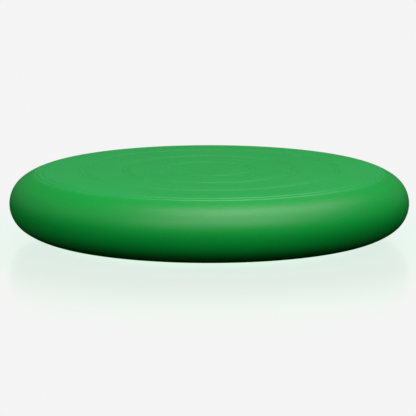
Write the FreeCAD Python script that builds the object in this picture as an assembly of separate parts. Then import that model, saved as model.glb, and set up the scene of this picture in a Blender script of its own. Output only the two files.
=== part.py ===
"""Inflatable balance pad: a hollow moulded disc of soft PVC with a needle valve in its rim.

The frame is in millimetres. The origin is on the floor under the middle of the pad, +Z is up,
and the valve looks along +Y. The skin of the real pad is one moulding. Here it is parted on two
level planes, so that the top can be pressed down while the wall between the planes is squashed.
"""

import FreeCAD
import Part
import math
import os

from FreeCAD import Vector

# ---------------------------------------------------------------- driving dimensions, mm
# Outline of the inflated pad
PAD_DIAMETER = 330.0
RIM_RADIUS = 23.4            # arc round the widest line of the pad
RIM_ANGLE = 55.0             # degrees of that arc above and below the widest line
SHOULDER_RADIUS = 44.0       # arc from the rim to the top and to the underside
CROWN_RADIUS = 8000.0        # slight doming of the top by the air inside
WALL = 4.0                   # moulded skin

# Rings moulded in the top, evenly spaced from the middle: each is a pair of fine grooves
RING_COUNT = 4
LAST_RING_INSET = 24.2       # from the pad's edge to the outermost ring
GROOVE_SPACING = 4.2
GROOVE_WIDTH = 2.0
GROOVE_DEPTH = 0.45

# Nubs under the pad, in circles of 6, 12, 18 ... about a round boss
NUB_PITCH = 15.0
NUBS_IN_FIRST_CIRCLE = 6
NUB_HEIGHT = 3.0
NUB_TIP_RADIUS = 2.2
NUB_FLARE = 1.6              # how much wider a nub is where it meets the skin
NUB_EDGE_RADIUS = 0.6
NUB_MARGIN = 12.0             # bare skin between the outermost nubs and the edge of the flat underside
CENTRE_BOSS_RADIUS = 7.0
MERGE = 0.5                  # how far a moulded feature runs into the skin it grows from

# Valve, on an axis along +Y a little below the widest line
SLEEVE_BORE_RADIUS = 1.8
SLEEVE_WALL = 1.4
FLANGE_WIDTH = 0.8           # how far the sleeve's flange stands out round it
FLANGE_THICKNESS = 1.0
BEAD_HEIGHT = 0.7            # bulge that locks the sleeve behind the boss
BEAD_LENGTH = 2.0
POCKET_DEPTH = 4.4
BOSS_WALL = 2.6              # round the pocket
BOSS_REACH = 16.0            # from the rim's surface to the boss's inner face
BOSS_DROP = 0.5              # from the widest line down to the boss
CORE_INSET = 6.6             # from the sleeve's face to the core's mouth
CORE_BILL_LENGTH = 3.0       # flat lips at the core's inner end
CORE_BILL_THICKNESS = 1.2
NEEDLE_RADIUS = 0.45         # relaxed channel, which a pump needle stretches
SLIT_WIDTH = 0.15
PLUG_HEAD_THICKNESS = 1.5
PLUG_TIP_TAPER = 0.5
PLUG_EDGE_RADIUS = 0.4
NOTCH_WIDTH = 2.4            # for a fingernail, in the edge of the plug's head
NOTCH_DEPTH = 0.9

# Clearances
SEATED_GAP = 0.05            # between valve pieces that are pressed together
SLIDING_GAP = 0.3            # round and under the plug
POCKET_GAP = 0.4             # round the sleeve's flange and the plug's head
PLUG_TIP_GAP = 1.9           # from the plug's tip to the core's mouth

# ---------------------------------------------------------------- what follows from them
PAD_RADIUS = PAD_DIAMETER / 2
RIM_TURN = math.radians(RIM_ANGLE)
ARC_STEP = SHOULDER_RADIUS - RIM_RADIUS
RIM_CENTRE_R = PAD_RADIUS - RIM_RADIUS
SHOULDER_CENTRE_R = RIM_CENTRE_R - ARC_STEP * math.cos(RIM_TURN)
SHOULDER_OFFSET_Z = ARC_STEP * math.sin(RIM_TURN)
HALF_THICKNESS = SHOULDER_RADIUS - SHOULDER_OFFSET_Z
MID_Z = NUB_HEIGHT + HALF_THICKNESS
RIM_TOP_Z = MID_Z + RIM_RADIUS * math.sin(RIM_TURN)
CROWN_TURN = math.acos(SHOULDER_CENTRE_R / (CROWN_RADIUS - SHOULDER_RADIUS))
CROWN_CENTRE_Z = MID_Z - SHOULDER_OFFSET_Z - (CROWN_RADIUS - SHOULDER_RADIUS) * math.sin(CROWN_TURN)
CROWN_EDGE_R = CROWN_RADIUS * math.cos(CROWN_TURN)
RIM_TOP_R = RIM_CENTRE_R + RIM_RADIUS * math.cos(RIM_TURN)
RING_PITCH = (PAD_RADIUS - LAST_RING_INSET) / RING_COUNT
FLAT_RADIUS = RING_PITCH - (GROOVE_SPACING + GROOVE_WIDTH) / 2     # the middle of the top is flat
NUB_BASE_RADIUS = NUB_TIP_RADIUS + NUB_FLARE
NUB_CIRCLES = int((SHOULDER_CENTRE_R - NUB_MARGIN - NUB_BASE_RADIUS) / NUB_PITCH)
SLEEVE_RADIUS = SLEEVE_BORE_RADIUS + SLEEVE_WALL
FLANGE_RADIUS = SLEEVE_RADIUS + FLANGE_WIDTH
POCKET_RADIUS = FLANGE_RADIUS + POCKET_GAP
BOSS_RADIUS = POCKET_RADIUS + BOSS_WALL
VALVE_DROP = BOSS_RADIUS + BOSS_DROP
VALVE_Z = MID_Z - VALVE_DROP
VALVE_FACE_Y = RIM_CENTRE_R + math.sqrt(RIM_RADIUS ** 2 - VALVE_DROP ** 2)
POCKET_FLOOR_Y = VALVE_FACE_Y - POCKET_DEPTH
SLEEVE_FACE_Y = POCKET_FLOOR_Y + FLANGE_THICKNESS
CORE_MOUTH_Y = SLEEVE_FACE_Y - CORE_INSET
BOSS_END_Y = VALVE_FACE_Y - BOSS_REACH
FAR = 2 * PAD_DIAMETER


def at(radius, turn, centre_r, centre_z):
    """The point of an arc in the X-Z plane, where turn is its angle above the level."""
    return Vector(centre_r + radius * math.cos(turn), 0, centre_z + radius * math.sin(turn))


def arc(radius, start, end, centre_r, centre_z):
    """An edge of that arc from one turn to another."""
    middle = (start + end) / 2
    points = [at(radius, turn, centre_r, centre_z) for turn in (start, middle, end)]
    return Part.Arc(*points).toShape()


def line(start, end):
    return Part.LineSegment(start, end).toShape()


def turned_about_z(edges):
    """The solid that a closed outline in the X-Z plane makes when it turns about the Z axis."""
    return Part.Face(Part.Wire(edges)).revolve(Vector(0, 0, 0), Vector(0, 0, 1), 360)


def top_point(radius):
    """The point of the top's plain surface at a distance from the axis."""
    if radius <= CROWN_EDGE_R:
        return Vector(radius, 0, CROWN_CENTRE_Z + math.sqrt(CROWN_RADIUS ** 2 - radius ** 2))
    from_centre = radius - SHOULDER_CENTRE_R
    height = math.sqrt(SHOULDER_RADIUS ** 2 - from_centre ** 2)
    return Vector(radius, 0, MID_Z - SHOULDER_OFFSET_Z + height)


def plain_run(start_r, end_r):
    """The edges of the top's surface between two distances from the axis."""
    stops = [start_r, end_r]
    if start_r < CROWN_EDGE_R < end_r:
        stops.insert(1, CROWN_EDGE_R)
    return [Part.Arc(*map(top_point, (near, (near + far) / 2, far))).toShape()
            for near, far in zip(stops, stops[1:])]


def groove(radius):
    """The round-bottomed edge of a ring groove."""
    inner, middle, outer = (top_point(radius + side * GROOVE_WIDTH / 2) for side in (-1, 0, 1))
    return Part.Arc(inner, middle - Vector(0, 0, GROOVE_DEPTH), outer).toShape()


def ringed_top():
    """The edges of the top's outline, from the flat middle out to the rim, with every groove."""
    edges, reached = [], FLAT_RADIUS
    for ring in range(1, RING_COUNT + 1):
        for side in (-1, 1):
            radius = ring * RING_PITCH + side * GROOVE_SPACING / 2
            start = radius - GROOVE_WIDTH / 2
            if start > reached:
                edges += plain_run(reached, start)
            edges.append(groove(radius))
            reached = radius + GROOVE_WIDTH / 2
    return edges + plain_run(reached, RIM_TOP_R)


def plain_top(inset):
    """The same outline with no grooves, moved in by inset."""
    crown, shoulder = CROWN_RADIUS - inset, SHOULDER_RADIUS - inset
    flat_turn = math.acos(FLAT_RADIUS / crown)
    return [
        arc(crown, flat_turn, CROWN_TURN, 0, CROWN_CENTRE_Z),
        arc(shoulder, CROWN_TURN, RIM_TURN, SHOULDER_CENTRE_R, MID_Z - SHOULDER_OFFSET_Z),
    ]


def pad_body(inset, top_edges):
    """The pad as a solid body, with its surface moved in by inset, under a given top."""
    flat_edge = top_edges[0].firstVertex(True).Point
    top_middle = Vector(0, 0, flat_edge.z)
    lower_z = MID_Z + SHOULDER_OFFSET_Z
    base_edge = at(SHOULDER_RADIUS - inset, -math.pi / 2, SHOULDER_CENTRE_R, lower_z)
    base_middle = Vector(0, 0, base_edge.z)
    return turned_about_z([
        line(top_middle, flat_edge),
        *top_edges,
        arc(RIM_RADIUS - inset, RIM_TURN, -RIM_TURN, RIM_CENTRE_R, MID_Z),
        arc(SHOULDER_RADIUS - inset, -RIM_TURN, -math.pi / 2, SHOULDER_CENTRE_R, lower_z),
        line(base_edge, base_middle),
        line(base_middle, top_middle),
    ])


def level_slab(low_z, high_z):
    """A slab wider than the pad, to keep what lies between two heights."""
    return Part.makeBox(FAR, FAR, high_z - low_z, Vector(-FAR / 2, -FAR / 2, low_z))


def nub():
    """One blunt nub that stands on the floor at the origin and runs a little into the skin."""
    slope = (NUB_BASE_RADIUS - NUB_TIP_RADIUS) / NUB_HEIGHT
    cone = Part.makeCone(NUB_TIP_RADIUS, NUB_BASE_RADIUS + slope * MERGE, NUB_HEIGHT + MERGE)
    tip_edge = [edge for edge in cone.Edges if edge.BoundBox.ZMax < MERGE]
    return cone.makeFillet(NUB_EDGE_RADIUS, tip_edge)


def nub_places():
    """Where the nubs stand, circle by circle."""
    places = []
    for circle in range(1, NUB_CIRCLES + 1):
        count = NUBS_IN_FIRST_CIRCLE * circle
        radius = NUB_PITCH * circle
        for step in range(count):
            turn = 2 * math.pi * step / count
            places.append(Vector(radius * math.cos(turn), radius * math.sin(turn), 0))
    return places


def moved(shape, place):
    copy = shape.copy()
    copy.translate(place)
    return copy


def along_valve(radius, start_y, end_y):
    """A cylinder on the valve's axis."""
    return Part.makeCylinder(radius, end_y - start_y, Vector(0, start_y, VALVE_Z), Vector(0, 1, 0))


def turned_about_valve(points):
    """The solid that an outline makes about the valve's axis; points are (distance off it, Y)."""
    corners = [Vector(0, y, VALVE_Z + off) for off, y in points]
    outline = Part.makePolygon(corners + corners[:1])
    return Part.Face(outline).revolve(Vector(0, 0, VALVE_Z), Vector(0, 1, 0), 360)


def base_shell(body, skin):
    """Underside and lower half of the rim, with the nubs, the centre boss and the valve's boss."""
    shell = skin.common(level_slab(0, MID_Z))
    boss = along_valve(BOSS_RADIUS, BOSS_END_Y, PAD_RADIUS).common(body)
    centre_boss = Part.makeCylinder(CENTRE_BOSS_RADIUS, NUB_HEIGHT + MERGE)
    one_nub = nub()
    nubs = [moved(one_nub, place) for place in nub_places()]
    shell = shell.fuse([boss, centre_boss] + nubs)
    pocket = along_valve(POCKET_RADIUS, POCKET_FLOOR_Y, PAD_RADIUS + WALL)
    bore = along_valve(SLEEVE_RADIUS + SEATED_GAP, BOSS_END_Y - WALL, PAD_RADIUS)
    return shell.cut([pocket, bore])


def side_wall(skin):
    """The part of the rim that is squashed when the top goes down."""
    return skin.common(level_slab(MID_Z, RIM_TOP_Z))


def top_shell(skin):
    """The top with its rings, down to where the rim begins."""
    return skin.common(level_slab(RIM_TOP_Z, FAR))


def valve_sleeve():
    """Rubber housing of the valve, pressed into the boss and locked by a bead behind it."""
    bead_y = BOSS_END_Y - SEATED_GAP
    return turned_about_valve([
        (SLEEVE_BORE_RADIUS, SLEEVE_FACE_Y),
        (FLANGE_RADIUS, SLEEVE_FACE_Y),
        (FLANGE_RADIUS, POCKET_FLOOR_Y),
        (SLEEVE_RADIUS, POCKET_FLOOR_Y),
        (SLEEVE_RADIUS, bead_y),
        (SLEEVE_RADIUS + BEAD_HEIGHT, bead_y - BEAD_LENGTH / 3),
        (SLEEVE_RADIUS, bead_y - BEAD_LENGTH),
        (SLEEVE_BORE_RADIUS, bead_y - BEAD_LENGTH),
    ])


def valve_core():
    """Soft self-sealing core: a channel for the needle, closed by a slit between two flat lips."""
    inner_y = BOSS_END_Y - BEAD_LENGTH
    tip_y = inner_y - CORE_BILL_LENGTH
    radius = SLEEVE_BORE_RADIUS - SEATED_GAP
    core = along_valve(radius, tip_y, CORE_MOUTH_Y)
    for side in (-1, 1):
        wedge = Part.makePolygon([
            Vector(-FAR, inner_y, VALVE_Z + side * radius),
            Vector(-FAR, tip_y, VALVE_Z + side * CORE_BILL_THICKNESS / 2),
            Vector(-FAR, tip_y, VALVE_Z + side * 2 * radius),
            Vector(-FAR, inner_y, VALVE_Z + side * 2 * radius),
            Vector(-FAR, inner_y, VALVE_Z + side * radius),
        ])
        core = core.cut(Part.Face(wedge).extrude(Vector(2 * FAR, 0, 0)))
    channel = along_valve(NEEDLE_RADIUS, inner_y, CORE_MOUTH_Y)
    slit = Part.makeBox(radius, inner_y - tip_y, SLIT_WIDTH,
                        Vector(-radius / 2, tip_y, VALVE_Z - SLIT_WIDTH / 2))
    return core.cut([channel, slit])


def valve_plug():
    """Push-in plug that keeps dirt out of the valve, with a notch for a fingernail."""
    seat_y = SLEEVE_FACE_Y + SLIDING_GAP
    face_y = seat_y + PLUG_HEAD_THICKNESS
    stem_radius = SLEEVE_BORE_RADIUS - SLIDING_GAP
    tip_y = CORE_MOUTH_Y + PLUG_TIP_GAP
    head_radius = POCKET_RADIUS - POCKET_GAP
    head = along_valve(head_radius, seat_y, face_y)
    outer_edge = [edge for edge in head.Edges if edge.BoundBox.YMin > face_y - MERGE]
    head = head.makeFillet(PLUG_EDGE_RADIUS, outer_edge)
    stem = turned_about_valve([
        (0, seat_y + MERGE),
        (stem_radius, seat_y + MERGE),
        (stem_radius, tip_y + PLUG_TIP_TAPER),
        (stem_radius - PLUG_TIP_TAPER, tip_y),
        (0, tip_y),
    ])
    notch = Part.makeBox(NOTCH_WIDTH, 2 * PLUG_HEAD_THICKNESS, head_radius,
                         Vector(-NOTCH_WIDTH / 2, seat_y - MERGE,
                                VALVE_Z + head_radius - NOTCH_DEPTH))
    return head.fuse(stem).cut(notch)


def build():
    """Every piece of the pad, by name."""
    body = pad_body(0, ringed_top())
    skin = body.cut(pad_body(WALL, plain_top(WALL)))
    return {
        "base_shell": base_shell(body, skin),
        "side_wall": side_wall(skin),
        "top_shell": top_shell(skin),
        "valve_sleeve": valve_sleeve(),
        "valve_core": valve_core(),
        "valve_plug": valve_plug(),
    }


def main():
    os.makedirs("parts", exist_ok=True)
    for name, shape in build().items():
        shape = shape.removeSplitter()
        shape.exportStep(f"parts/{name}.step")
        box = shape.BoundBox
        print(f"{name}: {len(shape.Solids)} solid, valid {shape.isValid()}, "
              f"{shape.Volume / 1000:.2f} cm3, "
              f"X {box.XMin:.1f} to {box.XMax:.1f}, Y {box.YMin:.1f} to {box.YMax:.1f}, "
              f"Z {box.ZMin:.1f} to {box.ZMax:.1f}")


main()
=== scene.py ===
# %% [markdown]
# # A balance pad, built and finished in Blender
#
# A balance pad is a round cushion of soft PVC, moulded in one piece and blown up like a tyre. People
# stand, sit or kneel on it to train their balance. Its top is almost flat and carries four rings, each
# a pair of fine grooves. Its side is one full, round rim. The underside has rows of small nubs that
# grip the floor, and a rubber needle valve sits in the back of the rim.
#
# The construction comes from a CAD model that is already packed as a fixed frame. Blender only adds
# the looks: the skin as one unbroken surface, the nubs, the finishes, a floor, some lights and a
# camera. All lengths are in metres, in the same frame as the CAD model.

import math

import bmesh
import bpy
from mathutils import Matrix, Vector


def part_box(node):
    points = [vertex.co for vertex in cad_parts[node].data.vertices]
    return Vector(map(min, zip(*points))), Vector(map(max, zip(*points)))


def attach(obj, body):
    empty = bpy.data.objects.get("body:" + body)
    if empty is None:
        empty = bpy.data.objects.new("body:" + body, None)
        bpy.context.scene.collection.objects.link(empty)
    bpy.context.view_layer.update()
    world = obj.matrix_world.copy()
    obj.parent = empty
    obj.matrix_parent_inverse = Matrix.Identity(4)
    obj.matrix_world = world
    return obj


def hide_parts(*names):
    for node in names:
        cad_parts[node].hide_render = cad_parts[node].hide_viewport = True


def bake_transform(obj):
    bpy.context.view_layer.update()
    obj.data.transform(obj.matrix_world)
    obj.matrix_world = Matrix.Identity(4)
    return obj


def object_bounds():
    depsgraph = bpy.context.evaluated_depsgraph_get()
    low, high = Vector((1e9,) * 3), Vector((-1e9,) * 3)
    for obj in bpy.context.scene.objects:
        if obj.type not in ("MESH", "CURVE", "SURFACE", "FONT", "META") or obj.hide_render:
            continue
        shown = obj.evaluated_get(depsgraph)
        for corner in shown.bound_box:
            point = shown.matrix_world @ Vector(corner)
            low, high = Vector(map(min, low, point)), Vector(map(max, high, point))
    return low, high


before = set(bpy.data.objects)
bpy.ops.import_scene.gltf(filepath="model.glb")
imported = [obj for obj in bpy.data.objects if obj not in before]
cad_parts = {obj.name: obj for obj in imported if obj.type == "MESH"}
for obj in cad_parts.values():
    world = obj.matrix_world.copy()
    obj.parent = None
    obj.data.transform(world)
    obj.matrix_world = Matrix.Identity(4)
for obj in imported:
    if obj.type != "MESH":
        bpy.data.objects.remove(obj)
cad_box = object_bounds()
MM = 0.001
print("CAD box, mm:", [[round(c / MM, 2) for c in corner] for corner in cad_box])

# %% [markdown]
# ## The sizes that everything follows
#
# The CAD nodes already know how wide the pad is and at which heights its skin was parted, so those
# numbers are read from the frame. The radii of the outline can't be read from a box. They are
# written down once, here, and the rest is worked out from them with a little trigonometry: the rim
# is one arc, the shoulders above and below it are a wider arc that meets it smoothly, and the top
# is a very flat dome, because air pushes it up a little.

# %% Sizes of the outline
PAD_RADIUS = cad_box[1].x
TOP_Z = cad_box[1].z
MID_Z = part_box("base_shell")[1].z
RIM_TOP_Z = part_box("side_wall")[1].z
NUB_HEIGHT = 3.0 * MM

RIM_RADIUS = 23.4 * MM
RIM_TURN = math.radians(55)
SHOULDER_RADIUS = 44.0 * MM
CROWN_RADIUS = 8.0

RING_COUNT = 4
RING_PITCH = 35.2 * MM
GROOVE_SPACING = 4.2 * MM
GROOVE_WIDTH = 2.0 * MM
GROOVE_DEPTH = 0.45 * MM

arc_step = SHOULDER_RADIUS - RIM_RADIUS
rim_centre_r = PAD_RADIUS - RIM_RADIUS
shoulder_centre_r = rim_centre_r - arc_step * math.cos(RIM_TURN)
shoulder_offset_z = arc_step * math.sin(RIM_TURN)
crown_turn = math.acos(shoulder_centre_r / (CROWN_RADIUS - SHOULDER_RADIUS))
crown_edge_r = CROWN_RADIUS * math.cos(crown_turn)
flat_r = RING_PITCH - (GROOVE_SPACING + GROOVE_WIDTH) / 2
lower_centre_z = MID_Z + shoulder_offset_z
upper_centre_z = MID_Z - shoulder_offset_z
crown_centre_z = upper_centre_z - (CROWN_RADIUS - SHOULDER_RADIUS) * math.sin(crown_turn)
print("rim centre at", round(rim_centre_r / MM, 2), "mm, dome ends at", round(crown_edge_r / MM, 2), "mm")

# %% [markdown]
# ## The outline of the skin
#
# The skin is round, so one outline turned about the Z axis makes all of it. The outline is a list of
# points (distance from the axis, height). Points should stand close together where the surface
# bends and can stand far apart where it is straight: a mesh that is dense everywhere only costs
# time. So the arcs are stepped by angle, and the top gets extra points at every groove.

# %% Points along arcs
def arc(centre_r, centre_z, radius, start, end, steps):
    """Points (r, z) from one angle to another, both ends included."""
    turns = [start + (end - start) * step / steps for step in range(steps + 1)]
    return [(centre_r + radius * math.cos(t), centre_z + radius * math.sin(t)) for t in turns]


def top_height(r):
    """Height of the plain top at a distance from the axis; the middle is flat."""
    r = max(r, flat_r)
    if r <= crown_edge_r:
        return crown_centre_z + math.sqrt(CROWN_RADIUS ** 2 - r ** 2)
    return upper_centre_z + math.sqrt(SHOULDER_RADIUS ** 2 - (r - shoulder_centre_r) ** 2)


print("middle of the top at", round(top_height(0) / MM, 3), "mm, in the CAD model", round(TOP_Z / MM, 3))

# %% The underside and its round boss
BOSS_RADIUS = 7.0 * MM
BOSS_EDGE = 0.6 * MM
EDGE_STEPS = 4
PLAIN_STEPS = 5

underside = [(0.0, 0.0)]
underside += arc(BOSS_RADIUS - BOSS_EDGE, BOSS_EDGE, BOSS_EDGE, -math.pi / 2, 0, EDGE_STEPS)
underside += arc(BOSS_RADIUS + BOSS_EDGE, NUB_HEIGHT - BOSS_EDGE, BOSS_EDGE,
                 math.pi, math.pi / 2, EDGE_STEPS)
underside += [(shoulder_centre_r * step / PLAIN_STEPS, NUB_HEIGHT) for step in range(1, PLAIN_STEPS)]
print(len(underside), "points on the underside")

# %% The rim
SHOULDER_STEPS = 12
RIM_STEPS = 30

rim = arc(shoulder_centre_r, lower_centre_z, SHOULDER_RADIUS,
          -math.pi / 2, -RIM_TURN, SHOULDER_STEPS)[:-1]
rim += arc(rim_centre_r, MID_Z, RIM_RADIUS, -RIM_TURN, RIM_TURN, RIM_STEPS)
print(len(rim), "points round the rim")

# %% The top, with extra points where the grooves will be
GROOVE_STEPS = 8
DOME_STEP = 5.0 * MM
SHOULDER_STEP = 1.2 * MM


def plain_radii(start, end):
    """Evenly spaced distances strictly between two others, closer together on the shoulder."""
    step = SHOULDER_STEP if end > crown_edge_r else DOME_STEP
    count = max(1, round(abs(end - start) / step))
    return [start + (end - start) * i / count for i in range(1, count)]


def groove_radii(middle):
    """Distances across one groove, edge to edge."""
    return [middle + GROOVE_WIDTH * (i / GROOVE_STEPS - 0.5) for i in range(GROOVE_STEPS + 1)]


top_radii = [0.0]
for ring in range(1, RING_COUNT + 1):
    for side in (-1, 1):
        groove = groove_radii(ring * RING_PITCH + side * GROOVE_SPACING / 2)
        top_radii += plain_radii(top_radii[-1], groove[0]) + groove
top_radii += plain_radii(top_radii[-1], rim[-1][0])
top = [(r, top_height(r)) for r in reversed(top_radii)]
outline = underside + rim + top
print(len(outline), "points in the whole outline")

# %% [markdown]
# ## Small helpers for node trees
#
# Both Geometry Nodes and shader nodes are trees of nodes joined by links, and both have the same
# Math node. Written out in full, each sum would take four lines. `calc` makes one Math node, feeds
# it numbers or other nodes' outputs, and returns its result, so that a formula in the tree reads
# almost like a formula on paper. `calc_vector` does the same with directions and places, and `ramp`
# turns a value into a mask with soft ends.

# %% Helpers: nodes and links
def plug_in(tree, source, socket):
    """Links source to a socket, or sets the socket if source is a plain value."""
    if isinstance(source, bpy.types.NodeSocket):
        tree.links.new(source, socket)
    else:
        socket.default_value = source


def node(tree, kind, settings=None, **inputs):
    """A new node with its settings, and its inputs by name with _ for each space."""
    made = tree.nodes.new(kind)
    for name, value in (settings or {}).items():
        setattr(made, name, value)
    for name, source in inputs.items():
        plug_in(tree, source, made.inputs[name.replace("_", " ")])
    return made


def new_tree(name, kind, inputs, outputs):
    """A node group with named sockets; inputs are (name, socket type, default)."""
    tree = bpy.data.node_groups.new(name, kind)
    for label, socket_type, default in inputs:
        socket = tree.interface.new_socket(label, in_out="INPUT", socket_type=socket_type)
        if default is not None:
            socket.default_value = default
    for label, socket_type in outputs:
        tree.interface.new_socket(label, in_out="OUTPUT", socket_type=socket_type)
    start = tree.nodes.new("NodeGroupInput")
    end = tree.nodes.new("NodeGroupOutput")
    return tree, start.outputs, end.inputs


FLOAT, INT, VECTOR = "NodeSocketFloat", "NodeSocketInt", "NodeSocketVector"
GEOMETRY, MATERIAL = "NodeSocketGeometry", "NodeSocketMaterial"


# %% Helpers: sums, directions and soft steps
def calc(tree, operation, *values):
    """The result of one Math node."""
    made = tree.nodes.new("ShaderNodeMath")
    made.operation = operation
    for value, socket in zip(values, made.inputs):
        plug_in(tree, value, socket)
    return made.outputs[0]


def calc_vector(tree, operation, *vectors, output="Vector"):
    """The result of one Vector Math node; output="Value" gives its number."""
    made = tree.nodes.new("ShaderNodeVectorMath")
    made.operation = operation
    for vector, socket in zip(vectors, made.inputs):
        plug_in(tree, vector, socket)
    return made.outputs[output]


def ramp(tree, value, start, end, low=0.0, high=1.0):
    """A smooth step from low, where the value is start, to high, where it is end."""
    made = node(tree, "ShaderNodeMapRange", {"interpolation_type": "SMOOTHSTEP"},
                Value=value, From_Min=start, From_Max=end, To_Min=low, To_Max=high)
    return made.outputs["Result"]


# %% [markdown]
# ## A lathe as a node group
#
# Turning an outline about an axis can be done with the Spin tool, the Screw modifier or a few lines
# of mesh code. Here it is a Geometry Nodes group, because two pieces need it, the skin and the
# nubs, and because the outline can then still be changed by nodes before it is turned. The trick is
# Curve to Mesh: it carries a profile along a path, and if the path is a circle, the result is a
# turned shape. The profile is shifted inwards by the circle's radius, so that a point at distance r
# from the axis ends up exactly there. Points on the axis meet in one place, and Merge by Distance
# closes them into a pole.

# %% The lathe group
LATHE_PATH = 1.0
POLE_GAP = 0.001 * MM

lathe, given, result = new_tree(
    "Lathe", "GeometryNodeTree",
    [("Outline", GEOMETRY, None), ("Steps", INT, 64)], [("Mesh", GEOMETRY)])
here = node(lathe, "GeometryNodeInputPosition")
xyz = node(lathe, "ShaderNodeSeparateXYZ", Vector=here.outputs[0])
laid = node(lathe, "ShaderNodeCombineXYZ",
            X=calc(lathe, "SUBTRACT", xyz.outputs["X"], LATHE_PATH),
            Y=calc(lathe, "MULTIPLY", xyz.outputs["Z"], -1))
flat = node(lathe, "GeometryNodeSetPosition", Geometry=given["Outline"], Position=laid.outputs[0])
profile = node(lathe, "GeometryNodeMeshToCurve", Mesh=flat.outputs[0])
path = node(lathe, "GeometryNodeCurvePrimitiveCircle", Resolution=given["Steps"], Radius=LATHE_PATH)
swept = node(lathe, "GeometryNodeCurveToMesh",
             Curve=path.outputs[0], Profile_Curve=profile.outputs[0])
closed = node(lathe, "GeometryNodeMergeByDistance", Geometry=swept.outputs[0], Distance=POLE_GAP)
lathe.links.new(closed.outputs[0], result["Mesh"])
print("lathe group:", len(lathe.nodes), "nodes")

# %% [markdown]
# ## The ringed skin as a rule
#
# The rings follow a rule: ring number k lies at k times the pitch, and its two grooves lie half the
# spacing to either side. So they needn't be drawn. The tree below looks at each point of the
# outline, finds the nearest ring, measures how far the point is from the nearest groove, and sinks
# it along a cosine, which gives the groove a round bottom and soft lips, as a mould does. Then the
# lathe group turns the outline.

# %% The skin tree
skin_tree, given, result = new_tree("Ringed skin", "GeometryNodeTree", [
    ("Outline", GEOMETRY, None),
    ("Ring Count", INT, RING_COUNT),
    ("Ring Pitch", FLOAT, RING_PITCH),
    ("Groove Spacing", FLOAT, GROOVE_SPACING),
    ("Groove Width", FLOAT, GROOVE_WIDTH),
    ("Groove Depth", FLOAT, GROOVE_DEPTH),
    ("Top Starts At", FLOAT, RIM_TOP_Z),
    ("Steps", INT, 64),
    ("Material", MATERIAL, None),
], [("Mesh", GEOMETRY)])

here = node(skin_tree, "GeometryNodeInputPosition")
xyz = node(skin_tree, "ShaderNodeSeparateXYZ", Vector=here.outputs[0])
r, z = xyz.outputs["X"], xyz.outputs["Z"]

nearest = calc(skin_tree, "ROUND", calc(skin_tree, "DIVIDE", r, given["Ring Pitch"]))
ring = calc(skin_tree, "MINIMUM", calc(skin_tree, "MAXIMUM", nearest, 1), given["Ring Count"])
off_ring = calc(skin_tree, "ABSOLUTE",
                calc(skin_tree, "SUBTRACT", r, calc(skin_tree, "MULTIPLY", ring, given["Ring Pitch"])))
half_spacing = calc(skin_tree, "MULTIPLY", given["Groove Spacing"], 0.5)
off_groove = calc(skin_tree, "ABSOLUTE", calc(skin_tree, "SUBTRACT", off_ring, half_spacing))

half_width = calc(skin_tree, "MULTIPLY", given["Groove Width"], 0.5)
share = calc(skin_tree, "MINIMUM", calc(skin_tree, "DIVIDE", off_groove, half_width), 1)
wave = calc(skin_tree, "COSINE", calc(skin_tree, "MULTIPLY", share, math.pi))
sunk = calc(skin_tree, "MULTIPLY", calc(skin_tree, "MULTIPLY_ADD", wave, 0.5, 0.5), given["Groove Depth"])
on_top = calc(skin_tree, "GREATER_THAN", z, given["Top Starts At"])
drop = node(skin_tree, "ShaderNodeCombineXYZ",
            Z=calc(skin_tree, "MULTIPLY", calc(skin_tree, "MULTIPLY", sunk, on_top), -1))

ringed = node(skin_tree, "GeometryNodeSetPosition", Geometry=given["Outline"], Offset=drop.outputs[0])
turned = node(skin_tree, "GeometryNodeGroup", {"node_tree": lathe},
              Outline=ringed.outputs[0], Steps=given["Steps"])
smooth = node(skin_tree, "GeometryNodeSetShadeSmooth", Geometry=turned.outputs[0])
real = node(skin_tree, "GeometryNodeRealizeInstances", Geometry=smooth.outputs[0])
dressed = node(skin_tree, "GeometryNodeSetMaterial",
               Geometry=real.outputs[0], Material=given["Material"])
skin_tree.links.new(dressed.outputs[0], result["Mesh"])
print("skin tree:", len(skin_tree.nodes), "nodes")

# %% [markdown]
# ## The nubs as a rule
#
# The nubs stand in circles of 6, 12, 18 and so on, so that neighbours are always about one pitch
# apart. That is a rule too: nub number i stands on circle k, where k comes from a square root,
# because the first k circles hold 3k(k+1) nubs together. The tree makes a row of bare points, moves
# each to its place with that formula and puts one turned nub on each of them.

# %% The nub tree
NUB_CIRCLES = 7
FIRST_CIRCLE = 6
NUB_PITCH = 15.0 * MM
NUB_STEPS = 10

nub_tree, given, result = new_tree("Nubs in circles", "GeometryNodeTree", [
    ("Outline", GEOMETRY, None),
    ("Circles", INT, NUB_CIRCLES),
    ("Nubs in First Circle", INT, FIRST_CIRCLE),
    ("Pitch", FLOAT, NUB_PITCH),
    ("Steps", INT, NUB_STEPS),
    ("Material", MATERIAL, None),
], [("Mesh", GEOMETRY)])

circles, first, pitch = given["Circles"], given["Nubs in First Circle"], given["Pitch"]
total = calc(nub_tree, "MULTIPLY", calc(nub_tree, "MULTIPLY", first, 0.5),
             calc(nub_tree, "MULTIPLY", circles, calc(nub_tree, "ADD", circles, 1)))
index = node(nub_tree, "GeometryNodeInputIndex").outputs[0]
past = calc(nub_tree, "DIVIDE", calc(nub_tree, "MULTIPLY_ADD", index, 8, 4), first)
root = calc(nub_tree, "SQRT", calc(nub_tree, "ADD", past, 1))
circle = calc(nub_tree, "FLOOR", calc(nub_tree, "MULTIPLY_ADD", root, 0.5, 0.5))
before = calc(nub_tree, "MULTIPLY", calc(nub_tree, "MULTIPLY", first, 0.5),
              calc(nub_tree, "MULTIPLY", circle, calc(nub_tree, "SUBTRACT", circle, 1)))
place = calc(nub_tree, "DIVIDE", calc(nub_tree, "SUBTRACT", index, before),
             calc(nub_tree, "MULTIPLY", circle, first))
turn = calc(nub_tree, "MULTIPLY", place, 2 * math.pi)
reach = calc(nub_tree, "MULTIPLY", circle, pitch)
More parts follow.
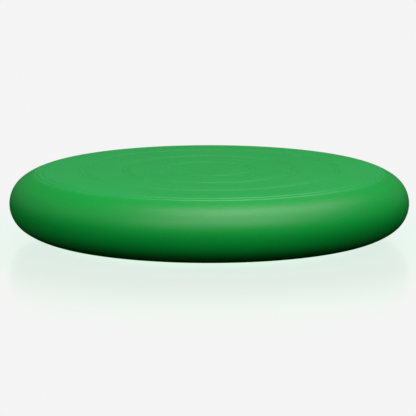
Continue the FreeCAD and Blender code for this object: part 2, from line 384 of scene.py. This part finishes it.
spot = node(nub_tree, "ShaderNodeCombineXYZ",
            X=calc(nub_tree, "MULTIPLY", reach, calc(nub_tree, "COSINE", turn)),
            Y=calc(nub_tree, "MULTIPLY", reach, calc(nub_tree, "SINE", turn)))

points = node(nub_tree, "GeometryNodePoints", Count=total, Position=spot.outputs[0])
one_nub = node(nub_tree, "GeometryNodeGroup", {"node_tree": lathe},
               Outline=given["Outline"], Steps=given["Steps"])
nubs_on = node(nub_tree, "GeometryNodeInstanceOnPoints",
               Points=points.outputs[0], Instance=one_nub.outputs[0])
real = node(nub_tree, "GeometryNodeRealizeInstances", Geometry=nubs_on.outputs[0])
smooth = node(nub_tree, "GeometryNodeSetShadeSmooth", Geometry=real.outputs[0])
dressed = node(nub_tree, "GeometryNodeSetMaterial",
               Geometry=smooth.outputs[0], Material=given["Material"])
nub_tree.links.new(dressed.outputs[0], result["Mesh"])
print("nub tree:", len(nub_tree.nodes), "nodes")

# %% [markdown]
# ## Shared surface effects
#
# Soft PVC, rubber and hard plastic all come out of a mould, and all three have the same two faults
# under a close look: a very fine grain left by the mould's steel, and a slow unevenness of shine and
# shade where the material cooled and hands have rubbed it. Both are one node group each, with the
# sizes as inputs, so that every material can use them with its own values. The patterns read object
# coordinates, which are metres here, so a grain of half a millimetre is half a millimetre on every
# piece.

# %% Group: fine mould grain
grain_group, given, result = new_tree("Mould grain", "ShaderNodeTree", [
    ("Vector", VECTOR, None),
    ("Grain Size", FLOAT, 0.5 * MM),
    ("Pit Size", FLOAT, 3.0 * MM),
    ("Pit Share", FLOAT, 0.3),
], [("Height", FLOAT)])
fine = node(grain_group, "ShaderNodeTexNoise", Vector=given["Vector"],
            Scale=calc(grain_group, "DIVIDE", 1, given["Grain Size"]), Detail=2.0)
pits = node(grain_group, "ShaderNodeTexVoronoi", {"feature": "SMOOTH_F1"}, Vector=given["Vector"],
            Scale=calc(grain_group, "DIVIDE", 1, given["Pit Size"]))
shallow = calc(grain_group, "MULTIPLY", pits.outputs["Distance"], given["Pit Share"])
height = calc(grain_group, "ADD", fine.outputs["Fac"], shallow)
grain_group.links.new(height, result["Height"])
print("grain group:", len(grain_group.nodes), "nodes")

# %% Group: handling
SMUDGE_FROM = 0.45
SMUDGE_TO = 0.70

handling_group, given, result = new_tree("Handling", "ShaderNodeTree", [
    ("Vector", VECTOR, None),
    ("Patch Size", FLOAT, 60 * MM),
    ("Smudge Size", FLOAT, 12 * MM),
], [("Shade", FLOAT), ("Smudge", FLOAT)])
slow = node(handling_group, "ShaderNodeTexNoise", Vector=given["Vector"],
            Scale=calc(handling_group, "DIVIDE", 1, given["Patch Size"]), Detail=3.0)
smudges = node(handling_group, "ShaderNodeTexNoise", Vector=given["Vector"],
               Scale=calc(handling_group, "DIVIDE", 1, given["Smudge Size"]), Detail=4.0,
               Roughness=0.6, Distortion=0.4)
handling_group.links.new(slow.outputs["Fac"], result["Shade"])
handling_group.links.new(ramp(handling_group, smudges.outputs["Fac"], SMUDGE_FROM, SMUDGE_TO),
                         result["Smudge"])
print("handling group:", len(handling_group.nodes), "nodes")

# %% [markdown]
# ## The three finishes
#
# The skin of a real pad is satin soft PVC, its valve is matt black rubber, and the valve's plug is
# hard, pale plastic. Each could be put together by itself, but all three are moulded, and they differ
# only in tone, shine and grain. So one function makes them, and each gets its own numbers.
#
# A material here is one Principled shader with three things plugged in: a colour that drifts a
# little between two close tones, a roughness that drifts with the same patches and drops where
# smudges have polished the surface, and a bump from the grain. What is the same all over, such as
# the strength of the reflection, is set on the shader itself.

# %% A moulded material
SMUDGES_PER_PATCH = 5
GRAINS_PER_PIT = 6
SMUDGE_POLISH = 0.03


def moulded(name, tones, roughness, grain, bump, patch, specular):
    """A moulded finish. tones and roughness are pairs, and grain, bump and patch are lengths."""
    material = bpy.data.materials.new(name)
    material.use_nodes = True
    tree = material.node_tree
    tree.nodes.clear()
    output = tree.nodes.new("ShaderNodeOutputMaterial")
    shader = tree.nodes.new("ShaderNodeBsdfPrincipled")
    shader.inputs["Specular IOR Level"].default_value = specular
    tree.links.new(shader.outputs[0], output.inputs[0])

    where = node(tree, "ShaderNodeTexCoord").outputs["Object"]
    use = node(tree, "ShaderNodeGroup", {"node_tree": handling_group},
               Vector=where, Patch_Size=patch, Smudge_Size=patch / SMUDGES_PER_PATCH)
    surface = node(tree, "ShaderNodeGroup", {"node_tree": grain_group},
                   Vector=where, Grain_Size=grain, Pit_Size=grain * GRAINS_PER_PIT)

    tone = node(tree, "ShaderNodeMix", {"data_type": "RGBA"})
    plug_in(tree, use.outputs["Shade"], tone.inputs["Factor"])
    for socket, colour in zip((tone.inputs[6], tone.inputs[7]), tones):
        socket.default_value = (*colour, 1)
    tree.links.new(tone.outputs[2], shader.inputs["Base Color"])

    shine = node(tree, "ShaderNodeMapRange", Value=use.outputs["Shade"],
                 To_Min=roughness[0], To_Max=roughness[1])
    polished = calc(tree, "MULTIPLY_ADD", use.outputs["Smudge"], -SMUDGE_POLISH, shine.outputs["Result"])
    tree.links.new(polished, shader.inputs["Roughness"])

    grainy = node(tree, "ShaderNodeBump", Strength=1.0, Distance=bump, Height=surface.outputs["Height"])
    tree.links.new(grainy.outputs[0], shader.inputs["Normal"])
    return material, shader


# %% The skin, the valve and its plug
skin_finish, skin_shader = moulded(
    "soft_pvc", tones=((0.001, 0.365, 0.044), (0.001, 0.395, 0.048)), roughness=(0.48, 0.54),
    grain=0.6 * MM, bump=0.004 * MM, patch=60 * MM, specular=0.22)
rubber_finish, _ = moulded(
    "black_rubber", tones=((0.012, 0.012, 0.013), (0.022, 0.022, 0.024)), roughness=(0.5, 0.65),
    grain=0.25 * MM, bump=0.006 * MM, patch=4 * MM, specular=0.4)
plug_finish, _ = moulded(
    "plug_plastic", tones=((0.70, 0.71, 0.69), (0.78, 0.79, 0.76)), roughness=(0.32, 0.42),
    grain=0.3 * MM, bump=0.003 * MM, patch=5 * MM, specular=0.5)
print("finishes:", [finish.name for finish in (skin_finish, rubber_finish, plug_finish)])

# %% [markdown]
# ## Where the skin is worn, and where sheen and shade are painted
#
# A pad is carried and pushed about by the upper edge of its rim, and that is where bare feet roll over
# it. Soft PVC takes a polish there: the pits close, so a thin glossy film lies over the skin. Under the
# film the green is painted a little darker. This is partly the richer look of polished PVC and partly
# painted shade that tones down the rim where the lamps light it most. A shader has a layer for the
# film, the coat, and a mask sets its weight. The lips of the grooves are polished too, because every
# foot that slides over the top rubs them. The top itself is where people stand. Its level faces and its
# ringed middle, the grooves' walls included, get a thin pale painted sheen. It stands in for the pale
# reflection that a satin top shows at grazing angles.
#
# Painting such masks by hand is slow work, and they can be worked out instead, from the way a face
# looks. The upward part of its normal is 1 on a level face and 0 on an upright one. The level part
# says to which side it looks, and the film is thickest towards the side away from the valve, because
# people pick the pad up by that side and step onto it from there. Neither the film nor the painted
# sheen is even, so a slow noise weakens both here and there.

# %% Which way a face of the skin looks, and how worn that side is
FRONT = Vector((0, -1, 0))
HELD_SIDE = Vector((0.18, -1, 0)).normalized()
HELD_FROM = 0.6
HELD_TO = 0.95
HELD_LEAST = 0.2
WEAR_AND_SHEEN_PATCH = 42 * MM
WEAR_AND_SHEEN_LEAST = 0.8
LEVEL = (1, 1, 0)

tree = skin_finish.node_tree
given = node(tree, "ShaderNodeTexCoord").outputs
upward = node(tree, "ShaderNodeSeparateXYZ", Vector=given["Normal"]).outputs["Z"]
outward = calc_vector(tree, "NORMALIZE", calc_vector(tree, "MULTIPLY", given["Normal"], LEVEL))
towards_held = calc_vector(tree, "DOT_PRODUCT", outward, HELD_SIDE, output="Value")
patchy = node(tree, "ShaderNodeTexNoise", Vector=given["Object"], Scale=1 / WEAR_AND_SHEEN_PATCH, Detail=3.0)
uneven = node(tree, "ShaderNodeMapRange", Value=patchy.outputs["Fac"],
              From_Min=0.3, From_Max=0.7, To_Min=WEAR_AND_SHEEN_LEAST, To_Max=1.0).outputs["Result"]
rubbed = calc(tree, "MULTIPLY", uneven, ramp(tree, towards_held, HELD_FROM, HELD_TO, low=HELD_LEAST))
print("the worn side is", round(math.degrees(HELD_SIDE.angle(FRONT))), "degrees off the front")

# %% The polish film on the shoulder and on the grooves' lips
POLISH_FROM = 0.10
POLISH_FULL = 0.60
POLISH_UPTO = 0.79
POLISH_GONE = 0.985
LIP_FROM = 0.99
LIP_FULL = 0.92
LIP_POLISH = 0.8
RINGED_RADIUS = RING_COUNT * RING_PITCH + (GROOVE_SPACING + GROOVE_WIDTH) / 2
FILM_ROUGHNESS = 0.46
FILM_IOR = 1.60

from_axis = calc_vector(tree, "LENGTH", calc_vector(tree, "MULTIPLY", given["Object"], LEVEL),
                        output="Value")
ringed = calc(tree, "MULTIPLY", calc(tree, "LESS_THAN", from_axis, RINGED_RADIUS),
              calc(tree, "GREATER_THAN", upward, 0))
band = calc(tree, "MULTIPLY", ramp(tree, upward, POLISH_FROM, POLISH_FULL),
            ramp(tree, upward, POLISH_UPTO, POLISH_GONE, low=1.0, high=0.0))
shoulder = calc(tree, "MULTIPLY", band, calc(tree, "SUBTRACT", 1, ringed))
lips = calc(tree, "MULTIPLY", ringed, ramp(tree, upward, LIP_FULL, LIP_FROM, low=LIP_POLISH, high=0.0))
film = calc(tree, "MULTIPLY", calc(tree, "MAXIMUM", shoulder, lips), rubbed)

plug_in(tree, film, skin_shader.inputs["Coat Weight"])
skin_shader.inputs["Coat Roughness"].default_value = FILM_ROUGHNESS
skin_shader.inputs["Coat IOR"].default_value = FILM_IOR
full_leans = [round(math.degrees(math.acos(part))) for part in (POLISH_UPTO, POLISH_FULL)]
print("the film is full on faces that lean", full_leans, "degrees")

# %% The painted sheen on the top, and the painted darker green under the film
PAINTED_SHEEN_FROM = 0.90
PAINTED_SHEEN_TO = 0.99
PAINTED_SHEEN_SHARE = 0.16
PAINTED_SHEEN_COLOUR = (0.112, 0.66, 0.28, 1)
FILM_DEEPENING_AND_PAINTED_SHADE = 0.12
BLACK = (0, 0, 0, 1)


def tinted(share, colour, other):
    """One colour mixed with another by a share, in the skin's material."""
    made = node(tree, "ShaderNodeMix", {"data_type": "RGBA"})
    for source, socket in zip((share, colour, other), (made.inputs[0], made.inputs[6], made.inputs[7])):
        plug_in(tree, source, socket)
    return made.outputs[2]


# Painted sheen: level faces and the ringed middle of the top are mixed a little towards a pale green. It
# takes the place of the pale reflection that a satin top shows at grazing angles.
painted_sheen_mask = calc(tree, "MAXIMUM", ramp(tree, upward, PAINTED_SHEEN_FROM, PAINTED_SHEEN_TO), ringed)
painted_sheen_weight = calc(tree, "MULTIPLY", calc(tree, "MULTIPLY", painted_sheen_mask, uneven), PAINTED_SHEEN_SHARE)
plain = skin_shader.inputs["Base Color"].links[0].from_socket
colour_with_painted_sheen = tinted(painted_sheen_weight, plain, PAINTED_SHEEN_COLOUR)
# Painted shade, partly the richer look of polished PVC: where the film lies, the colour is mixed a little
# towards black.
deepened_and_painted_shade = tinted(calc(tree, "MULTIPLY", film, FILM_DEEPENING_AND_PAINTED_SHADE), colour_with_painted_sheen, BLACK)
plug_in(tree, deepened_and_painted_shade, skin_shader.inputs["Base Color"])
print("skin finish:", len(tree.nodes), "nodes")

# %% [markdown]
# ## Running a tree
#
# A tree works as a modifier on an object. Its host here is nothing but the outline, as points joined
# by edges. The modifier's inputs are set by each socket's identifier, Blender evaluates the
# modifier, and the outcome is copied into a plain mesh, so that nothing of the tree is left on the
# finished piece.

# %% From outline and tree to a plain piece
def piece_from(name, outline_points, tree, values):
    """A mesh object made by a tree from an outline of (r, z) points."""
    host_mesh = bpy.data.meshes.new(name + "_outline")
    edges = [(i, i + 1) for i in range(len(outline_points) - 1)]
    host_mesh.from_pydata([(r, 0, z) for r, z in outline_points], edges, [])
    host = bpy.data.objects.new(name + "_outline", host_mesh)
    bpy.context.scene.collection.objects.link(host)
    modifier = host.modifiers.new("tree", "NODES")
    modifier.node_group = tree
    for item in tree.interface.items_tree:
        if item.in_out == "INPUT" and item.name in values:
            modifier[item.identifier] = values[item.name]
    evaluated = host.evaluated_get(bpy.context.evaluated_depsgraph_get())
    mesh = bpy.data.meshes.new_from_object(evaluated)
    mesh.name = name
    bpy.data.objects.remove(host)
    piece = bpy.data.objects.new(name, mesh)
    bpy.context.scene.collection.objects.link(piece)
    return piece


def tidy_normals(mesh_in_hand):
    """Turns all faces of a closed bmesh outwards."""
    bmesh.ops.recalc_face_normals(mesh_in_hand, faces=mesh_in_hand.faces)
    if mesh_in_hand.calc_volume(signed=True) < 0:
        bmesh.ops.reverse_faces(mesh_in_hand, faces=mesh_in_hand.faces)


# %% Turn the skin
SKIN_STEPS = 256

skin = piece_from("pad_skin", outline, skin_tree, {
    "Ring Count": RING_COUNT,
    "Ring Pitch": RING_PITCH,
    "Groove Spacing": GROOVE_SPACING,
    "Groove Width": GROOVE_WIDTH,
    "Groove Depth": GROOVE_DEPTH,
    "Top Starts At": RIM_TOP_Z,
    "Steps": SKIN_STEPS,
    "Material": skin_finish,
})
print("skin:", len(skin.data.vertices), "points,", len(skin.data.polygons), "faces")

# %% [markdown]
# ## The valve's pocket in the rim
#
# The valve sits in a small round pocket at the back. A boolean would cut it, but it leaves long thin
# faces on a curved surface, and they catch the light badly. So the hole is worked as a patch: the
# faces round the valve's axis are taken out, rings of points are laid on the true surface of the rim,
# over a rounded lip, down the pocket's wall and along the bore, and the whole is stitched to the edge
# of the hole. The bore's end is closed, so the skin stays one closed surface.

# %% Where the valve is
FLANGE_THICKNESS = 1.0 * MM
BEAD_REACH = 2.1 * MM
CORE_ROOM = 0.8 * MM

sleeve_low, sleeve_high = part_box("valve_sleeve")
core_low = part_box("valve_core")[0]
VALVE_Z = (sleeve_low.z + sleeve_high.z) / 2
POCKET_FLOOR_Y = sleeve_high.y - FLANGE_THICKNESS
BEAD_ROOM_Y = sleeve_low.y + BEAD_REACH
BORE_END_Y = core_low.y - CORE_ROOM
print("valve axis at Z", round(VALVE_Z / MM, 2), "mm, pocket floor at Y",
      round(POCKET_FLOOR_Y / MM, 2), "mm")

# %% The patch's rings
RING_POINTS = 48
LIP_STEPS = 5
PATCH_RADII = (6.6 * MM, 5.8 * MM)
POCKET_RADIUS = 4.4 * MM
POCKET_LIP = 0.7 * MM
POCKET_CORNER = 0.3 * MM
BORE_RADIUS = 3.25 * MM
BEAD_ROOM_RADIUS = 4.3 * MM


def rim_y(x, z_here):
    """Y of the rim's surface at the back."""
    distance = rim_centre_r + math.sqrt(RIM_RADIUS ** 2 - (z_here - MID_Z) ** 2)
    return math.sqrt(distance ** 2 - x ** 2)


def ring_round_valve(radius, y=None, sink=0.0):
    """Points round the valve's axis, at a given Y or else on the rim's surface, sunk a little."""
    turns = [2 * math.pi * i / RING_POINTS for i in range(RING_POINTS)]
    places = [(radius * math.cos(t), VALVE_Z + radius * math.sin(t)) for t in turns]
    return [Vector((x, (rim_y(x, z_here) if y is None else y) - sink, z_here)) for x, z_here in places]


patch_rings = [ring_round_valve(radius) for radius in PATCH_RADII]
for step in range(LIP_STEPS + 1):
    bend = math.pi / 2 * step / LIP_STEPS
    patch_rings.append(ring_round_valve(POCKET_RADIUS + POCKET_LIP * (1 - math.sin(bend)),
                                        sink=POCKET_LIP * (1 - math.cos(bend))))
for radius, y in (
    (POCKET_RADIUS, POCKET_FLOOR_Y + POCKET_CORNER),
    (POCKET_RADIUS - POCKET_CORNER / 3, POCKET_FLOOR_Y + POCKET_CORNER / 3),
    (POCKET_RADIUS - POCKET_CORNER, POCKET_FLOOR_Y),
    (BORE_RADIUS, POCKET_FLOOR_Y),
    (BORE_RADIUS, BEAD_ROOM_Y),
    (BEAD_ROOM_RADIUS, BEAD_ROOM_Y),
    (BEAD_ROOM_RADIUS, BORE_END_Y),
):
    patch_rings.append(ring_round_valve(radius, y))
print(len(patch_rings), "rings from the rim's surface to the end of the bore")

# %% Cut and stitch
HOLE_HALF = 8.2 * MM
LITRES = 1000


def near_valve(point):
    """Whether a point of the skin lies in the square that is cut out round the valve."""
    return point.y > 0 and abs(point.x) < HOLE_HALF and abs(point.z - VALVE_Z) < HOLE_HALF


bm = bmesh.new()
bm.from_mesh(skin.data)
cut = [face for face in bm.faces if near_valve(face.calc_center_median())]
bmesh.ops.delete(bm, geom=cut, context="FACES")
hole_edges = [edge for edge in bm.edges if edge.is_boundary]

loops = []
for ring_points in patch_rings:
    verts = [bm.verts.new(point) for point in ring_points]
    loops.append([bm.edges.new((a, b)) for a, b in zip(verts, verts[1:] + verts[:1])])
bmesh.ops.bridge_loops(bm, edges=hole_edges + loops[0])
for outer, inner in zip(loops, loops[1:]):
    bmesh.ops.bridge_loops(bm, edges=outer + inner)
bmesh.ops.contextual_create(bm, geom=loops[-1])
tidy_normals(bm)
for face in bm.faces:
    face.smooth = True
open_edges = sum(edge.is_boundary for edge in bm.edges)
print("faces cut:", len(cut), "- open edges left:", open_edges,
      "- volume in litres:", round(bm.calc_volume() * LITRES, 3))
bm.to_mesh(skin.data)
bm.free()

# %% [markdown]
# ## The nubs
#
# One nub is a short blunt cone with a rounded tip and a foot that flares into the skin. It is turned
# in only a few steps, because there are 168 of them and each is smaller than a pea. They fill the flat
# middle of the underside and stay clear of its edge.

# %% The outline of one nub
NUB_TIP = 2.2 * MM
TIP_BEVEL = 0.55 * MM
TIP_RISE = 0.5 * MM
NUB_FOOT = 3.8 * MM
FOOT_INSET = 0.25 * MM
FOOT_HEIGHT = 0.45 * MM
NUB_FLARE = 0.6 * MM
NUB_SINK = 0.02 * MM

nub_outline = [
    (0.0, 0.0),
    (NUB_TIP - TIP_BEVEL, 0.0),
    (NUB_TIP, TIP_RISE),
    (NUB_FOOT - FOOT_INSET, NUB_HEIGHT - FOOT_HEIGHT),
    (NUB_FOOT + NUB_FLARE, NUB_HEIGHT + NUB_SINK),
    (0.0, NUB_HEIGHT + NUB_SINK),
]
print("one nub is", round(2 * NUB_TIP / MM, 1), "mm wide at its tip and",
      round(NUB_HEIGHT / MM, 1), "mm high")

# %% Make the nubs
nubs = piece_from("pad_nubs", nub_outline, nub_tree, {
    "Circles": NUB_CIRCLES,
    "Nubs in First Circle": FIRST_CIRCLE,
    "Pitch": NUB_PITCH,
    "Steps": NUB_STEPS,
    "Material": skin_finish,
})
bm = bmesh.new()
bm.from_mesh(nubs.data)
tidy_normals(bm)
bm.to_mesh(nubs.data)
bm.free()
nub_count = FIRST_CIRCLE * NUB_CIRCLES * (NUB_CIRCLES + 1) // 2
print(nub_count, "nubs with", len(nubs.data.polygons), "faces")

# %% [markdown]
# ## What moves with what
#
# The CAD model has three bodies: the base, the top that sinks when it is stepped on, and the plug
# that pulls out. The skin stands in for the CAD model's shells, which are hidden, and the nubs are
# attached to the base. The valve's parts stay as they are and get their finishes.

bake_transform(skin)
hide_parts("base_shell", "side_wall", "top_shell")

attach(nubs, "base")

for name, finish in (("valve_sleeve", rubber_finish), ("valve_core", rubber_finish),
                     ("valve_plug", plug_finish)):
    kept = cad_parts[name]
    kept.data.materials.clear()
    kept.data.materials.append(finish)

# %% [markdown]
# ## The studio
#
# The pad stands in a pale, empty studio. A real one has a curved sheet of paper behind the table, and
# a curved mesh could stand for it, but the world can do it alone. It has two jobs. What the camera
# sees of it is one even, very light grey. What falls on the pad is much weaker and comes evenly from
# everywhere, so that the lamps can shape it. The Light Path node tells the two apart, and the floor
# needs the same answer.

# %% The world
BACKGROUND = 0.905
ROOM_LIGHT = 0.18


def seen_by_camera(tree):
    """1 for rays from the camera, straight or through something clear, and 0 for light."""
    rays = node(tree, "ShaderNodeLightPath").outputs
    return calc(tree, "MAXIMUM", rays["Is Camera Ray"], rays["Is Transmission Ray"])


world = bpy.data.worlds.new("studio")
bpy.context.scene.world = world
world.use_nodes = True
tree = world.node_tree
tree.nodes.clear()
level = calc(tree, "MULTIPLY_ADD", seen_by_camera(tree), BACKGROUND - ROOM_LIGHT, ROOM_LIGHT)
room = node(tree, "ShaderNodeBackground", Color=(1, 1, 1, 1), Strength=level)
output = tree.nodes.new("ShaderNodeOutputWorld")
tree.links.new(room.outputs[0], output.inputs[0])
print("the world is seen at", BACKGROUND, "and lights the pad at", ROOM_LIGHT)

# %% [markdown]
# The floor is a wide, polished, pale sheet. Its look is a sum of three parts: a glow of its own, which
# is what makes it pale, a little lit white, which carries the pad's soft shadow, and a mirror that
# grows towards grazing angles, as on any polished floor. The lit part and the mirror fade away from
# the pad, and the glow makes up for them, so that the sheet runs evenly into the background. Close to
# the pad the sheet takes on its colour: the pad keeps white light away from it and throws green light
# back, so the glow loses red and blue there and gains a little green, and the mirror is clouded. To
# light that bounces off it, the sheet is dark, which keeps the shade under the rim deep. From below it
# is clear, and a round window under the pad lets light through, so that the nubs can be looked at too.

# %% The floor's sheet
FLOOR_HALF = 30.0

floor_mesh = bpy.data.meshes.new("floor")
corners = [(-FLOOR_HALF, -FLOOR_HALF, 0), (FLOOR_HALF, -FLOOR_HALF, 0),
           (FLOOR_HALF, FLOOR_HALF, 0), (-FLOOR_HALF, FLOOR_HALF, 0)]
floor_mesh.from_pydata(corners, [], [(0, 1, 2, 3)])
floor = bpy.data.objects.new("floor", floor_mesh)
bpy.context.scene.collection.objects.link(floor)
floor_finish = bpy.data.materials.new("studio_floor")
floor_finish.use_nodes = True
floor_mesh.materials.append(floor_finish)
print("floor:", 2 * FLOOR_HALF, "m square")

# %% How far from the pad, in three soft zones
FADE_FROM = 0.17
FADE_TO = 0.43
BLEED_FROM = 0.10
BLEED_TO = 0.30
WINDOW_FROM = 0.105
WINDOW_TO = 0.135

tree = floor_finish.node_tree
tree.nodes.clear()
seen = seen_by_camera(tree)
unseen = calc(tree, "SUBTRACT", 1, seen)
where = node(tree, "ShaderNodeTexCoord").outputs["Object"]
away = calc_vector(tree, "LENGTH", where, output="Value")
near = ramp(tree, away, FADE_FROM, FADE_TO, low=1.0, high=0.0)
close = ramp(tree, away, BLEED_FROM, BLEED_TO, low=1.0, high=0.0)
under_pad = ramp(tree, away, WINDOW_FROM, WINDOW_TO, low=1.0, high=0.0)
print("the mirror has faded out", FADE_TO, "m from the middle")

# %% The lit white and the mirror
LIT_SHARE = 0.03
BOUNCE = 0.02
MIRROR_SHARE = 1.45
MIRROR_FALLOFF = 3
MIRROR_ROUGHNESS = 0.17
BLEED_COVER = 0.6


def grey(value):
    """A colour with one value for red, green and blue, in the floor's material."""
    return node(tree, "ShaderNodeCombineColor", Red=value, Green=value, Blue=value).outputs[0]


bounced = calc(tree, "MULTIPLY", unseen, BOUNCE)
white = calc(tree, "MULTIPLY_ADD", calc(tree, "MULTIPLY", seen, near), LIT_SHARE, bounced)
lit = node(tree, "ShaderNodeBsdfDiffuse", Color=grey(white))

facing = node(tree, "ShaderNodeLayerWeight").outputs["Facing"]
grazing = calc(tree, "POWER", facing, MIRROR_FALLOFF)
clouded = calc(tree, "MULTIPLY", near, calc(tree, "MULTIPLY_ADD", close, -BLEED_COVER, 1))
share = calc(tree, "MULTIPLY", calc(tree, "MULTIPLY", grazing, MIRROR_SHARE),
             calc(tree, "MULTIPLY", clouded, seen))
mirror = node(tree, "ShaderNodeBsdfGlossy", Color=grey(share), Roughness=MIRROR_ROUGHNESS)
print("lit white and mirror:", len(tree.nodes), "nodes so far")

# %% The glow that makes the floor pale
LIT_LEVEL = 0.60
BLEED_LOSS = (0.10, -0.03, 0.05)

made_up = calc(tree, "MULTIPLY_ADD", white, -LIT_LEVEL,
               calc(tree, "MULTIPLY_ADD", share, -ROOM_LIGHT, BACKGROUND))
# Painted shadow and painted green bounce light: close to the pad the glow loses red and blue and gains a
# little green.
red, green, blue = [calc(tree, "MULTIPLY_ADD", close, -loss, made_up) for loss in BLEED_LOSS]
tint = node(tree, "ShaderNodeCombineColor", Red=red, Green=green, Blue=blue)
glow = node(tree, "ShaderNodeEmission", Color=tint.outputs[0], Strength=seen)
print("under the pad the glow's red, green and blue change by", [-loss for loss in BLEED_LOSS])


# %% The sum of the three, and the window under the pad
def added(first, second):
    """Two shaders of the floor's material added together."""
    both = tree.nodes.new("ShaderNodeAddShader")
    plug_in(tree, first.outputs[0], both.inputs[0])
    plug_in(tree, second.outputs[0], both.inputs[1])
    return both


window = calc(tree, "MULTIPLY", under_pad, unseen)
from_below = node(tree, "ShaderNodeNewGeometry").outputs["Backfacing"]
clear = tree.nodes.new("ShaderNodeBsdfTransparent")
sided = tree.nodes.new("ShaderNodeMixShader")
plug_in(tree, calc(tree, "MAXIMUM", from_below, window), sided.inputs[0])
plug_in(tree, added(added(lit, mirror), glow).outputs[0], sided.inputs[1])
plug_in(tree, clear.outputs[0], sided.inputs[2])
output = tree.nodes.new("ShaderNodeOutputMaterial")
tree.links.new(sided.outputs[0], output.inputs[0])
print("floor finish:", len(tree.nodes), "nodes")

# %% [markdown]
# Five softboxes light the pad. Spots or a sun would draw small, hard highlights, and a satin skin in
# a studio has broad, soft ones. A large softbox hangs in front and above. With one almost straight
# overhead it draws the broad highlight along the rim's upper edge. One on the right and a weaker one
# on the left lift the sides. A long, low strip in front lights the face of the rim, which would
# otherwise fall away too early, and leaves its underside in the dark. A sixth shines up through the
# window. The front one, the strip and the left one hang low, and they leave out the floor, because
# whoever looks towards one of them would see it mirrored there.

# %% Softboxes
PAD_MIDDLE = Vector((0, 0, MID_Z))
LAMP_DISTANCE = 1.6


def direction_to(azimuth, elevation):
    """Unit vector from the pad; azimuth 0 is the front, positive to the right, in degrees."""
    a, e = math.radians(azimuth), math.radians(elevation)
    return Vector((math.sin(a) * math.cos(e), -math.cos(a) * math.cos(e), math.sin(e)))


def softbox(name, azimuth, elevation, width, height, radiance, on_floor=True):
    """A rectangular area light that faces the pad; radiance is how bright its face is.

    on_floor says whether its light also falls on the floor.
    """
    lamp = bpy.data.lights.new(name, "AREA")
    lamp.shape = "RECTANGLE"
    lamp.size, lamp.size_y = width, height
    lamp.energy = radiance * math.pi * width * height
    holder = bpy.data.objects.new(name, lamp)
    holder.location = PAD_MIDDLE + direction_to(azimuth, elevation) * LAMP_DISTANCE
    holder.rotation_mode = "QUATERNION"
    holder.rotation_quaternion = direction_to(azimuth, elevation).to_track_quat("Z", "Y")
    holder.visible_camera = False
    if not on_floor:
        left_out = bpy.data.collections.new(name + " leaves out")
        left_out.objects.link(floor)
        left_out.collection_objects[0].light_linking.link_state = "EXCLUDE"
        holder.light_linking.receiver_collection = left_out
    bpy.context.scene.collection.objects.link(holder)
    print(name, "gives", round(lamp.energy, 1), "W")


softbox("front", azimuth=8, elevation=38, width=3.0, height=0.7, radiance=2.35, on_floor=False)
softbox("low strip", azimuth=0, elevation=14, width=4.5, height=0.35, radiance=1.0, on_floor=False)
softbox("overhead", azimuth=20, elevation=82, width=1.0, height=1.0, radiance=2.9)
softbox("right", azimuth=100, elevation=60, width=1.2, height=0.8, radiance=1.7)
softbox("left", azimuth=270, elevation=30, width=1.2, height=0.8, radiance=0.6, on_floor=False)
softbox("below", azimuth=0, elevation=-90, width=1.6, height=1.6, radiance=1.5)

# %% [markdown]
# ## The camera
#
# A long lens from far away keeps the ellipse of the pad almost free of perspective. The camera looks
# down at less than ten degrees, which is what makes the rings close up into thin lines.

# %% Camera
CAMERA_ELEVATION = 9.46
CAMERA_DISTANCE = 4.3
SENSOR_WIDTH_MM = 36.0
FOCAL_LENGTH_MM = 450.5
FRAME_SHIFT = (-0.0030, -0.0136)
FARTHEST_SEEN = 60.0

camera = bpy.data.objects.new("camera", bpy.data.cameras.new("camera"))
camera.data.sensor_width = SENSOR_WIDTH_MM
camera.data.lens = FOCAL_LENGTH_MM
camera.data.shift_x, camera.data.shift_y = FRAME_SHIFT
camera.data.clip_end = FARTHEST_SEEN
camera.location = PAD_MIDDLE + direction_to(0, CAMERA_ELEVATION) * CAMERA_DISTANCE
camera.rotation_mode = "QUATERNION"
camera.rotation_quaternion = direction_to(0, CAMERA_ELEVATION).to_track_quat("Z", "Y")
bpy.context.scene.collection.objects.link(camera)
bpy.context.scene.camera = camera
bpy.context.scene.view_settings.view_transform = "Standard"
print("the camera looks down", CAMERA_ELEVATION, "degrees from", CAMERA_DISTANCE, "m away")
